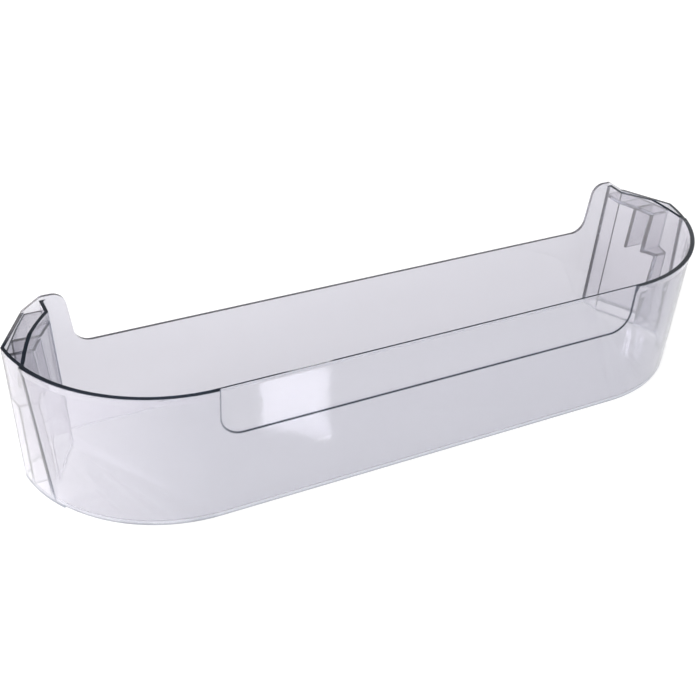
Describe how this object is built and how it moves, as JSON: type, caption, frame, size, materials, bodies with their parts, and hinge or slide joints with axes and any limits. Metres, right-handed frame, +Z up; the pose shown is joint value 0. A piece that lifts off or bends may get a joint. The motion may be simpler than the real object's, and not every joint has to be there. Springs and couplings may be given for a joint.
{
  "type": "fridge door shelf",
  "caption": "Clear moulded door shelf for a fridge: a long tray with curved ends, a low back wall, raised ears and a lug pocket at each back corner.",
  "frame": {"origin": "on the surface the shelf stands on, under the middle of its length and of its depth", "axes": "+X along the shelf, +Y from its front to the flat back that faces the door, +Z up"},
  "size_m": [0.4904, 0.124, 0.104],
  "materials": {
    "clear_plastic": "clear, glossy as moulded, with a faint cool tint"
  },
  "bodies": {
    "root": {"door_shelf": "clear_plastic"}
  },
  "joints": []
}
